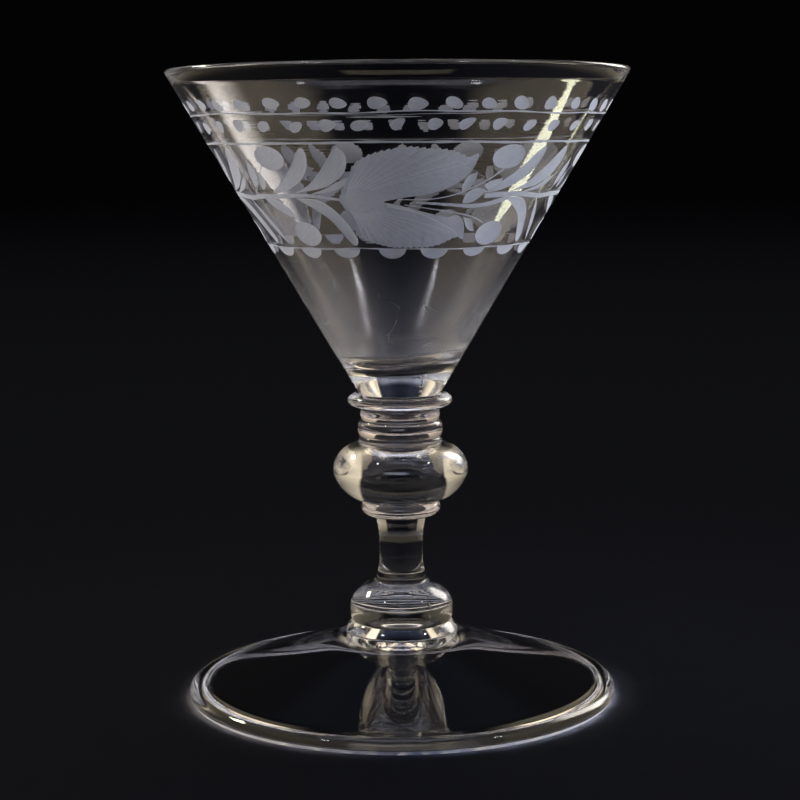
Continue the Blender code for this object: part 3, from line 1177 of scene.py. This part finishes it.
@dataclass
class FunnelBowl(GlassPiece):
    """The funnel bowl: a plain turned cone with the engraved band cut into its outside."""

    turn_steps: int = 256
    lip_wall: float = 1.3 * MM
    solid_base: float = 6.4 * MM
    floor_wall: float = 2.4 * MM
    floor_round: float = 3.6 * MM
    floor_tilt: float = 0.10
    tilt_reach: float = 14.0 * MM
    band_low: float = 91.6 * MM
    band_high: float = 124.6 * MM
    band_rows: int = 35
    above_band_steps: int = 4
    seam_overlap: float = 22.0
    seam_weld: float = 0.003 * MM
    cut_weld_mm: float = 1e-4
    wall_least: float = 0.5 * MM
    wall_slack: float = 0.02 * MM
    joint_clear: float = 1.0 * MM
    frieze: Frieze = Frieze()

    def joint_heights(self) -> list[float]:
        """Gives the height of the joint on the upper merese."""
        return [NodeShape.of(self.node).low]

    def lip_height(self) -> float:
        """Gives the height where the straight wall turns into the rounded lip."""
        return NodeShape.of(self.node).high - self.lip_wall / 2

    def slope(self) -> float:
        """Gives how much the outside widens for each metre of height."""
        shape = NodeShape.of(self.node)
        return (shape.widest_radius - shape.foot_radius) / (self.lip_height() - shape.low)

    def wall_radius(self, height: float) -> float:
        """Gives the outside radius at a height."""
        shape = NodeShape.of(self.node)
        return shape.foot_radius + self.slope() * (height - shape.low)

    def wall_normal(self, angle: float) -> Vector:
        """Gives the outside wall's normal at an angle from the front."""
        tilt = math.atan(self.slope())
        return Vector((math.sin(angle) * math.cos(tilt), -math.cos(angle) * math.cos(tilt), -math.sin(tilt)))

    def outline(self) -> list[Point]:
        """Gives the outline, from the floor up the inside, over the lip and down the outside.

        Returns:
            Radius and height of each corner.
        """
        shape = NodeShape.of(self.node)
        half_lip = self.lip_wall / 2
        lip = self.lip_height()
        rim_inner = (shape.widest_radius - self.lip_wall, lip)
        floor_edge = shape.low + self.solid_base + self.floor_round
        floor_radius = self.wall_radius(floor_edge) - self.floor_wall
        centre = (0.0, shape.low + self.solid_base)
        dish = quarter(centre, (floor_radius, floor_edge), ELLIPSE, 2 * self.flank_steps, True)
        inside = straight(dish[-1], rim_inner, self.flank_steps)
        crest = (shape.widest_radius - half_lip, shape.high)
        inner_lip = quarter(rim_inner, crest, ELLIPSE, self.flank_steps // 2, False)
        outer_lip = quarter(crest, (shape.widest_radius, lip), ELLIPSE, self.flank_steps // 2, True)
        band_top = (self.wall_radius(self.band_high), self.band_high)
        band_foot = (self.wall_radius(self.band_low), self.band_low)
        upper = straight((shape.widest_radius, lip), band_top, self.above_band_steps)
        lower = straight(band_foot, (shape.foot_radius, shape.low), self.flank_steps)
        return [centre, *dish, *inside, *inner_lip, *outer_lip, *upper, band_foot, *lower, (0.0, shape.low)]

    def dress(self, piece: Object, skins: Sequence[Material]) -> None:
        """Gives the bowl its materials and its engraved band, and sets the wall's true normals.

        Args:
            piece: The turned bowl.
            skins: The materials in the order of Skin.
        """
        super().dress(piece, skins)
        piece.data.shade_smooth()
        self.true_normals(piece.data)

    def shape_by_hand(self, mesh: BMesh) -> None:
        """Tilts the inside floor a little, as on the blown bowl, and cuts the engraved band.

        Args:
            mesh: The turned bowl.
        """
        low = NodeShape.of(self.node).low
        floor = low + self.solid_base
        for vert in mesh.verts:
            inside = math.hypot(vert.co.x, vert.co.y) < self.wall_radius(vert.co.z) - self.wall_least
            if inside and vert.co.z > low + self.joint_clear:
                share = min(1.0, max(0.0, 1 - (vert.co.z - floor) / self.tilt_reach))
                vert.co.z += self.floor_tilt * vert.co.x * share
        blank = [
            face
            for face in mesh.faces
            if any(abs(v.co.z - self.band_high) < SAME_HEIGHT for v in face.verts)
            and any(abs(v.co.z - self.band_low) < SAME_HEIGHT for v in face.verts)
        ]
        bmesh.ops.delete(mesh, geom=blank, context="FACES")
        self.engrave(mesh)
        bmesh.ops.remove_doubles(mesh, verts=mesh.verts, dist=self.seam_weld)

    def plan(
        self, cuts: Sequence[Cut]
    ) -> tuple[list[Vector], list[tuple[int, int]], list[list[int]], list[Cut]]:
        """Lays the band's grid and the cuts' outlines on the unrolled wall, past its seam on both sides.

        Args:
            cuts: The cuts.

        Returns:
            The points, the edges along the seam, the outlines, and the cut of each outline.
        """
        half = 180 * self.frieze.degree
        margin = self.seam_overlap * self.frieze.degree
        low, high = self.band_low / MM, self.band_high / MM
        column = 2 * half / self.turn_steps
        spare = math.ceil(margin / column)
        heights = [low + (high - low) * row / self.band_rows for row in range(self.band_rows + 1)]
        points, edges, faces, cut_of_face = [], [], [], []
        for index in range(-spare, self.turn_steps + spare + 1):
            along = -half + index * column
            first = len(points)
            points += [Vector((along, h)) for h in heights]
            if index in (0, self.turn_steps):
                edges += [(first + row, first + row + 1) for row in range(self.band_rows)]
        for cut in cuts:
            for shift in (-2 * half, 0.0, 2 * half):
                outline = [(a + shift, h) for a, h in cut.outline]
                if max(a for a, _ in outline) < -half - margin or min(a for a, _ in outline) > half + margin:
                    continue
                first = len(points)
                points += [Vector(p) for p in outline]
                faces.append(list(range(first, first + len(outline))))
                cut_of_face.append(cut)
        return points, edges, faces, cut_of_face

    def engrave(self, mesh: BMesh) -> None:
        """Adds the engraved band to the bowl's mesh.

        Args:
            mesh: The bowl with the band's place left open.
        """
        degree = self.frieze.degree
        half = 180 * degree
        low, high = self.band_low / MM, self.band_high / MM
        points, edges, faces, cut_of_face = self.plan(self.frieze.cuts())
        spots, _, triangles, _, _, origins = delaunay_2d_cdt(points, edges, faces, 0, self.cut_weld_mm, True)
        skins = []
        lays = []
        for origin in origins:
            ground = [cut_of_face[i] for i in origin]
            vein = [cut for cut in ground if cut.skin == Skin.VEIN]
            skins.append(Skin.VEIN if vein else Skin.GROUND if ground else Skin.CLEAR)
            lays.append((vein or ground)[-1].lay if ground else 0.0)
        on_clear = [False] * len(spots)
        on_ground = [False] * len(spots)
        depth = [0.0] * len(spots)
        reach = [1.0] * len(spots)
        for triangle, origin in zip(triangles, origins):
            for spot in triangle:
                if not origin:
                    on_clear[spot] = True
                for i in origin:
                    on_ground[spot] = True
                    if cut_of_face[i].depth > depth[spot]:
                        depth[spot] = cut_of_face[i].depth
                        reach[spot] = cut_of_face[i].reach
        rim = KDTree(sum(a and b for a, b in zip(on_clear, on_ground)))
        for index, spot in enumerate(spots):
            if on_clear[index] and on_ground[index]:
                rim.insert((spot.x, spot.y, 0.0), index)
        rim.balance()
        tilt = math.atan(self.slope())
        verts: dict[int, BMVert] = {}
        lay_map = mesh.loops.layers.uv.new(ENGRAVING_MAP)
        for triangle, skin, lay in zip(triangles, skins, lays):
            middle = sum((spots[i] for i in triangle), Vector((0.0, 0.0))) / 3
            if not (-half < middle.x < half and low < middle.y < high):
                continue
            for index in triangle:
                if index not in verts:
                    spot = spots[index]
                    sunk = 0.0
                    if on_ground[index] and not on_clear[index]:
                        edge_gap = rim.find((spot.x, spot.y, 0.0))[2]
                        sunk = depth[index] * (1 - math.exp(-edge_gap / reach[index])) * MM
                    angle = math.radians(spot.x / degree)
                    height = spot.y * MM
                    radius = self.wall_radius(height) - sunk * math.cos(tilt)
                    verts[index] = mesh.verts.new(
                        (radius * math.sin(angle), -radius * math.cos(angle), height + sunk * math.sin(tilt))
                    )
            face = mesh.faces.new([verts[i] for i in triangle])
            face.material_index = skin
            for loop, index in zip(face.loops, triangle):
                spot = spots[index]
                loop[lay_map].uv = (
                    spot.x * math.cos(lay) + spot.y * math.sin(lay),
                    spot.y * math.cos(lay) - spot.x * math.sin(lay),
                )

    def true_normals(self, mesh: Mesh) -> None:
        """Sets the cone's own normals on the clear outside wall, and smooth ones on the cuts.

        Args:
            mesh: The finished bowl.
        """
        normals = [Vector(n.vector) for n in mesh.corner_normals]
        ground: dict[int, Vector] = {}
        for face in mesh.polygons:
            if face.material_index in (Skin.GROUND, Skin.VEIN):
                for vertex in face.vertices:
                    ground[vertex] = ground.get(vertex, Vector()) + face.normal * face.area
        for face in mesh.polygons:
            if face.material_index in (Skin.GROUND, Skin.VEIN):
                for loop in face.loop_indices:
                    normals[loop] = ground[mesh.loops[loop].vertex_index].normalized()
            elif face.normal.z < 0 and self.on_wall(mesh, face):
                for loop in face.loop_indices:
                    place = mesh.vertices[mesh.loops[loop].vertex_index].co
                    normals[loop] = self.wall_normal(math.atan2(place.x, -place.y))
        mesh.normals_split_custom_set(normals)

    def on_wall(self, mesh: Mesh, face: MeshPolygon) -> bool:
        """Tells whether a face lies on the clear outside wall."""
        corners = [mesh.vertices[i].co for i in face.vertices]
        return all(abs(math.hypot(c.x, c.y) - self.wall_radius(c.z)) < self.wall_slack for c in corners)


class Shows(Enum):
    """Where a soft box shows."""

    ON_MATT = "on matt surfaces"
    IN_GLOSS = "in reflections"
    IN_GLASS = "through glass"


@dataclass(frozen=True)
class SoftBox:
    """A soft box that faces the glass; its angles are from the camera's side, in degrees.

    Its core is the even part from the middle to the edge at 0.5. It lights only what has a name with the
    ending that is given, or everything.
    """

    name: str
    shows: Shows
    azimuth: float
    elevation: float
    size: Point
    watts: float
    colour: str
    away: float = 0.62
    core: Point = (0.2, 0.2)
    upright: bool = False
    ending: str = ""

    def build(self) -> None:
        """Builds the lamp, which the camera doesn't see."""
        a, e = math.radians(self.azimuth), math.radians(self.elevation)
        back = Vector((math.sin(a) * math.cos(e), -math.cos(a) * math.cos(e), math.sin(e)))
        lamp = bpy.data.lights.new(self.name, "AREA")
        lamp.shape = "RECTANGLE"
        lamp.size, lamp.size_y = self.size
        lamp.energy = self.watts
        lamp.color = linear(self.colour)[:3]
        self.soften(lamp)
        holder = bpy.data.objects.new(self.name, lamp)
        holder.location = Vector((0.0, 0.0, LIT_HEIGHT)) + back * self.away
        facing = Vector((back.x, back.y, 0.0)) if self.upright else back
        holder.rotation_euler = facing.to_track_quat("Z", "Y").to_euler()
        holder.visible_camera = False
        holder.visible_diffuse = self.shows is Shows.ON_MATT
        holder.visible_glossy = self.shows is Shows.IN_GLOSS
        holder.visible_transmission = self.shows is Shows.IN_GLASS
        bpy.context.scene.collection.objects.link(holder)
        if self.ending:
            group = bpy.data.collections.new(self.name + "_lights")
            for thing in bpy.data.objects:
                if thing.name.endswith(self.ending):
                    group.objects.link(thing)
            holder.light_linking.receiver_collection = group

    def soften(self, lamp: AreaLight) -> None:
        """Lets the soft box fade towards its edges, as a diffuser cloth does.

        Args:
            lamp: The lamp.
        """
        lamp.use_nodes = True
        tree = lamp.node_tree
        tree.nodes.clear()
        spot = add_node(tree, "NewGeometry").outputs["Parametric"]
        off = add_node(tree, "VectorMath", {"operation": "SUBTRACT", 0: spot, 1: (0.5, 0.5, 0.0)})
        away = add_node(tree, "VectorMath", {"operation": "ABSOLUTE", 0: off})
        axes = add_node(tree, "SeparateXYZ", {"Vector": away}).outputs
        smooth = {"interpolation_type": "SMOOTHSTEP", "From Min": 0.5}
        across, up = (
            add_node(tree, "MapRange", {**smooth, "Value": axes[axis], "From Max": core})
            for axis, core in zip("XY", self.core)
        )
        both = add_node(tree, "Math", {"operation": "MULTIPLY", 0: across, 1: up})
        glow = add_node(tree, "Emission", {"Strength": both})
        add_node(tree, "OutputLight", {"Surface": glow})


CREAM = "#FFF2D2"
WARM = "#FFF6E6"
COOL = "#E8EEFF"
SPARK = "#F2F6FF"
SOFT_BOXES = (
    SoftBox("right_wall", Shows.IN_GLASS, 104, 46, (1.3, 1.4), 9.5, CREAM, 0.77, (0.44, 0.12), upright=True),
    SoftBox("left_wall", Shows.IN_GLASS, -99, 46, (1.3, 1.4), 7.6, CREAM, 0.77, (0.44, 0.12), upright=True),
    SoftBox("right_side", Shows.IN_GLASS, 36, 20, (0.4, 0.7), 0.55, WARM, core=(0.42, 0.2), upright=True),
    SoftBox("left_side", Shows.IN_GLASS, -32, 20, (0.4, 0.7), 0.55, WARM, core=(0.42, 0.2), upright=True),
    SoftBox("back_glow", Shows.IN_GLASS, 180, 46, (0.6, 0.34), 0.05, "#93A8D8"),
    SoftBox("front_glint", Shows.IN_GLASS, 8, 4, (1.0, 0.4), 0.9, "#F4F2F4", core=(0.3, 0.3)),
    SoftBox(
        "low_glint", Shows.IN_GLASS, 0, -21.5, (0.16, 0.052), 0.022, CREAM, 0.161, (0.4, 0.44), upright=True
    ),
    SoftBox("top_glint", Shows.IN_GLASS, 180, 88, (0.8, 0.52), 2.2, COOL, 0.70, (0.25, 0.25)),
    SoftBox("right_gleam", Shows.IN_GLOSS, 134, 22, (0.36, 0.5), 4.2, "#FFF9F0"),
    SoftBox("left_gleam", Shows.IN_GLOSS, -127.5, 34.4, (0.18, 0.085), 1.35, "#FBFFDE", core=(0.42, 0.28)),
    SoftBox("top_gleam", Shows.IN_GLOSS, 180, 88, (0.8, 0.52), 9.0, COOL, 0.70, (0.25, 0.25)),
    SoftBox("front_gleam", Shows.IN_GLOSS, -8, 16, (0.6, 0.16), 1.2, "#E4EAFF"),
    SoftBox("right_spark", Shows.IN_GLOSS, 70.8, 49.5, (0.06, 0.030), 0.42, SPARK),
    SoftBox("left_spark", Shows.IN_GLOSS, -58.7, 52.7, (0.06, 0.028), 0.42, SPARK),
    SoftBox("left_fill", Shows.ON_MATT, -93, -2.5, (0.8, 0.038), 28.0, "#FFF4E8", 1.5, ending="_glass"),
    SoftBox("right_fill", Shows.ON_MATT, 93, -2.5, (0.8, 0.038), 40.0, "#ECF0FF", 1.5, ending="_glass"),
    SoftBox("front_fill", Shows.ON_MATT, 0, -2.5, (0.8, 0.038), 3.4, "#86AEFF", 1.5, ending="_glass"),
    SoftBox("floor_fill", Shows.ON_MATT, 180, 89, (3.0, 3.0), 1.0, "#F4F4FF", 2.0, ending="floor"),
    SoftBox("foot_fill", Shows.ON_MATT, 180, 70, (0.3, 0.3), 5.5, COOL, ending="foot_glass"),
)


@dataclass(frozen=True)
class Studio:
    """A plain pale floor in a dark room, the soft boxes round the glass, and the camera."""

    focal_px: float = 1900.0
    distance: float = 392.2 * MM
    height: float = 114.3 * MM
    pitch: float = math.radians(7.58)
    roll: float = math.radians(-0.45)
    floor_radius: float = 4.0
    room: str = "#030304"

    def build(self) -> None:
        """Builds the floor, the lights, the world and the camera."""
        self.floor()
        self.lights()
        self.world()
        self.camera()

    def floor(self) -> None:
        """Builds the plain pale floor, with the faint mottle of rolled paint."""
        bpy.ops.object.select_all(action="DESELECT")
        bpy.ops.mesh.primitive_circle_add(vertices=96, radius=self.floor_radius, fill_type="NGON")
        floor = bpy.context.active_object
        floor.name = floor.data.name = "floor"
        floor.data.materials.append(FloorPaint().make("painted_floor_board"))

    def lights(self) -> None:
        """Builds the soft boxes round the glass."""
        for box in SOFT_BOXES:
            box.build()

    def world(self) -> None:
        """Makes the room dark, with a little even light for matt surfaces."""
        world = bpy.data.worlds.new("dark_room")
        bpy.context.scene.world = world
        world.use_nodes = True
        tree = world.node_tree
        tree.nodes.clear()
        sky = add_node(tree, "Background", {"Color": linear(self.room), "Strength": 1.0})
        add_node(tree, "OutputWorld", {"Surface": sky})

    def camera(self) -> None:
        """Sets up the camera at the photograph's viewing angle."""
        camera = bpy.data.cameras.new("camera")
        camera.sensor_width = SENSOR_WIDTH
        camera.lens = self.focal_px / IMAGE_SIDE * SENSOR_WIDTH
        camera.clip_start = 0.01
        holder = bpy.data.objects.new("camera", camera)
        holder.location = (0.0, -self.distance, self.height)
        holder.rotation_mode = "XYZ"
        down = Vector((0.0, math.cos(self.pitch), -math.sin(self.pitch)))
        aim = down.to_track_quat("-Z", "Y").to_matrix()
        turn = Vector((0.0, 0.0, 1.0))
        holder.rotation_euler = (aim @ Matrix.Rotation(self.roll, 3, turn)).to_euler()
        bpy.context.scene.collection.objects.link(holder)
        bpy.context.scene.camera = holder


BOWL_SEEDS = (
    (3.3, -3.0, 64.6, 0.22),
    (3.4, -3.2, 65.6, 0.30),
    (3.5, -3.4, 66.8, 0.34),
    (3.6, -3.4, 67.9, 0.20),
)
KNOP_SEEDS = (
    (4.6, -3.4, 17.2, 0.20),
    (4.7, -3.4, 18.4, 0.26),
    (4.7, -3.2, 19.8, 0.22),
    (4.6, -3.0, 21.2, 0.16),
)


def main() -> None:
    """Builds the pieces in order, from the foot up, and then the studio."""
    logging.basicConfig(level=logging.INFO, format="%(message)s")
    common = {
        Skin.CLEAR: FirePolishedGlass().make("fire_polished_glass"),
        Skin.FUSED: FusedJoint().make("fused_joint"),
        Skin.GROUND: WheelGroundGlass().make("wheel_ground_glass"),
        Skin.VEIN: FineWheelCutGlass().make("fine_wheel_cut_glass"),
        Skin.SEED: AirSeed().make("air_seed"),
    }
    blown = {Skin.CLEAR: WornBlownGlass().make("worn_blown_glass")}
    handled = {Skin.CLEAR: HandledGlass().make("handled_glass")}
    rested = {Skin.GROUND: TableWornGlass().make("table_worn_glass")}
    # Glass for the ball knop, with painted highlights round its upper half.
    knop_highlight = {Skin.CLEAR: PaintedHighlightKnopGlass().make("knop_painted_highlight_glass")}
    pieces: list[tuple[GlassPiece, dict[Skin, Material]]] = [
        (FoldedFoot("foot", Slot.FOOT), rested),
        (RoundedRing("foot_collar", Slot.STEM, upper_fullness=1.1), {}),
        (BasalKnop("basal_knop", Slot.STEM, seeds=KNOP_SEEDS), {}),
        (Stem("stem", Slot.STEM), {}),
        (RoundedRing("lower_merese", Slot.STEM, lower_fullness=1.68), handled),
        (RoundedRing("ball_knop", Slot.STEM, lower_fullness=1.68), knop_highlight),
        (RoundedRing("lower_ring", Slot.STEM), handled),
        (RoundedRing("middle_ring", Slot.STEM), handled),
        (RoundedRing("upper_ring", Slot.STEM), handled),
        (RoundedRing("upper_merese", Slot.STEM), handled),
        (FunnelBowl("bowl", Slot.BOWL, seeds=BOWL_SEEDS), blown),
    ]
    for piece, own in pieces:
        made = piece.build([own.get(skin, common[skin]) for skin in Skin])
        log.info("%s: %d faces", made.name, len(made.data.polygons))
    Studio().build()
    cycles = bpy.context.scene.cycles
    for limit in ("max_bounces", "transmission_bounces", "glossy_bounces", "transparent_max_bounces"):
        setattr(cycles, limit, BOUNCES)
    cycles.caustics_reflective = False
    cycles.caustics_refractive = False
    bpy.context.scene.view_settings.view_transform = "Standard"


if __name__ == "__main__":
    main()
